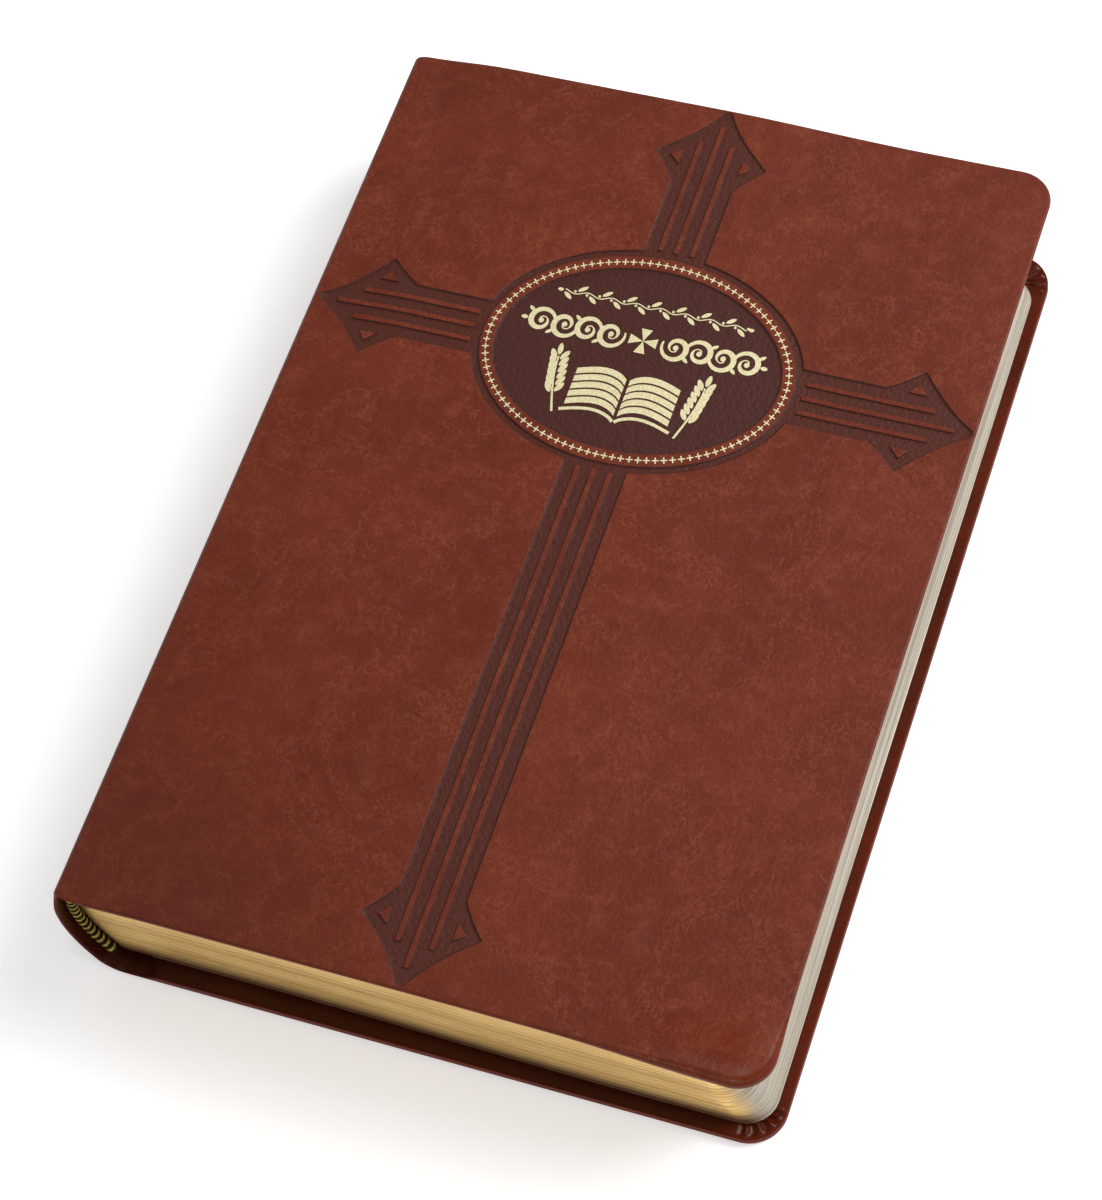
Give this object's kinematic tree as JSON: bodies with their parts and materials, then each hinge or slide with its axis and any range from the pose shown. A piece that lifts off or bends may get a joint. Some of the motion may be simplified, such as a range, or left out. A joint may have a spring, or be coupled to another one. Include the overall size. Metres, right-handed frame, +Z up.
{
  "type": "bible",
  "caption": "Closed bible in flexible brown imitation leather with a pressed cross, an oval panel, gold foil and gilt page edges; covers and page block open.",
  "frame": {"origin": "middle of the closed book's box, on the surface that its back cover lies on", "axes": "+Z up, from the back cover to the front cover; +Y from the tail to the head; +X from the spine to the fore-edge"},
  "size_m": [0.1515, 0.218, 0.0344],
  "materials": {
    "leather": "satin imitation leather, reddish brown, mottled, with a fine grain; the pressed cross and oval are darker and duller",
    "board": "flexible grey binding board, matt",
    "endpaper": "smooth cream endpaper",
    "page_paper": "thin cream page paper, with gilt edges",
    "inlay_card": "thin spine card, matt",
    "kraft_paper": "brown kraft paper, matt",
    "mull_gauze": "open cotton gauze, matt",
    "linen_thread": "linen thread, matt",
    "headband_cloth": "woven headband, olive gold and black stripes",
    "gold_foil": "pale gold stamping foil, satin metallic, on the front cover only"
  },
  "bodies": {
    "back_half": {"back_flyleaf": "endpaper", "signature_01": "page_paper", "signature_02": "page_paper", "spine_leather": "leather", "spine_inlay": "inlay_card", "spine_liner": "kraft_paper", "mull_cloth": "mull_gauze", "headband_tail": "headband_cloth", "headband_head": "headband_cloth", "sewing_thread_1": "linen_thread", "sewing_thread_2": "linen_thread", "sewing_thread_3": "linen_thread", "sewing_thread_4": "linen_thread", "sewing_thread_5": "linen_thread", "sewing_thread_6": "linen_thread"},
    "back_cover": {"back_cover_leather": "leather", "back_cover_board": "board", "back_pastedown": "endpaper"},
    "back_leaves_low": {"signature_03": "page_paper", "signature_04": "page_paper"},
    "back_leaves_mid": {"signature_05": "page_paper", "signature_06": "page_paper"},
    "back_leaves_top": {"signature_07": "page_paper", "signature_08": "page_paper"},
    "front_leaves_low": {"signature_09": "page_paper", "signature_10": "page_paper"},
    "front_leaves_mid": {"signature_11": "page_paper", "signature_12": "page_paper"},
    "front_leaves_top": {"signature_13": "page_paper", "signature_14": "page_paper"},
    "front_half": {"signature_15": "page_paper", "signature_16": "page_paper"},
    "front_flyleaf": {"front_flyleaf": "endpaper"},
    "front_cover": {"front_cover_leather": "leather", "front_cover_board": "board", "front_pastedown": "endpaper"}
  },
  "joints": [
    {"name": "book_opening", "type": "hinge", "parent": "back_half", "child": "front_half", "pos_m": [-0.07525, 0, 0.0172], "axis": [0, 1, 0], "range_deg": [-180, 0], "deforming": ["spine_leather", "spine_inlay", "spine_liner", "mull_cloth", "headband_tail", "headband_head", "sewing_thread_1", "sewing_thread_2", "sewing_thread_3", "sewing_thread_4", "sewing_thread_5", "sewing_thread_6"]},
    {"name": "front_cover_hinge", "type": "hinge", "parent": "front_half", "child": "front_cover", "pos_m": [-0.07055, 0, 0.0346], "axis": [0, -1, 0], "range_deg": [0, 180]},
    {"name": "back_cover_hinge", "type": "hinge", "parent": "back_half", "child": "back_cover", "pos_m": [-0.075, 0, -0.0002], "axis": [0, 1, 0], "range_deg": [0, 180]},
    {"name": "front_flyleaf_turn", "type": "hinge", "parent": "front_half", "child": "front_flyleaf", "pos_m": [-0.07055, 0, 0.0346], "axis": [0, -1, 0], "range_deg": [0, 170]},
    {"name": "back_leaves_low_lift", "type": "hinge", "parent": "back_half", "child": "back_leaves_low", "pos_m": [-0.07525, 0, 0.0172], "axis": [0, 1, 0], "range_deg": [-2.3, 0]},
    {"name": "back_leaves_mid_lift", "type": "hinge", "parent": "back_half", "child": "back_leaves_mid", "pos_m": [-0.07525, 0, 0.0172], "axis": [0, 1, 0], "range_deg": [-4.1, 0]},
    {"name": "back_leaves_top_lift", "type": "hinge", "parent": "back_half", "child": "back_leaves_top", "pos_m": [-0.07525, 0, 0.0172], "axis": [0, 1, 0], "range_deg": [-6.8, 0]},
    {"name": "front_leaves_low_turn", "type": "hinge", "parent": "back_half", "child": "front_leaves_low", "pos_m": [-0.07525, 0, 0.0172], "axis": [0, 1, 0], "range_deg": [-174.2, 0]},
    {"name": "front_leaves_mid_turn", "type": "hinge", "parent": "back_half", "child": "front_leaves_mid", "pos_m": [-0.07525, 0, 0.0172], "axis": [0, 1, 0], "range_deg": [-176.9, 0]},
    {"name": "front_leaves_top_turn", "type": "hinge", "parent": "back_half", "child": "front_leaves_top", "pos_m": [-0.07525, 0, 0.0172], "axis": [0, 1, 0], "range_deg": [-178.7, 0]}
  ],
  "couplings": [
    {"joint": "front_flyleaf_turn", "follows": "front_cover_hinge", "ratio": 0.94},
    {"joint": "back_leaves_low_lift", "follows": "book_opening", "ratio": 0.01},
    {"joint": "back_leaves_mid_lift", "follows": "book_opening", "ratio": 0.02},
    {"joint": "back_leaves_top_lift", "follows": "book_opening", "ratio": 0.035},
    {"joint": "front_leaves_low_turn", "follows": "book_opening", "ratio": 0.965},
    {"joint": "front_leaves_mid_turn", "follows": "book_opening", "ratio": 0.98},
    {"joint": "front_leaves_top_turn", "follows": "book_opening", "ratio": 0.99}
  ]
}
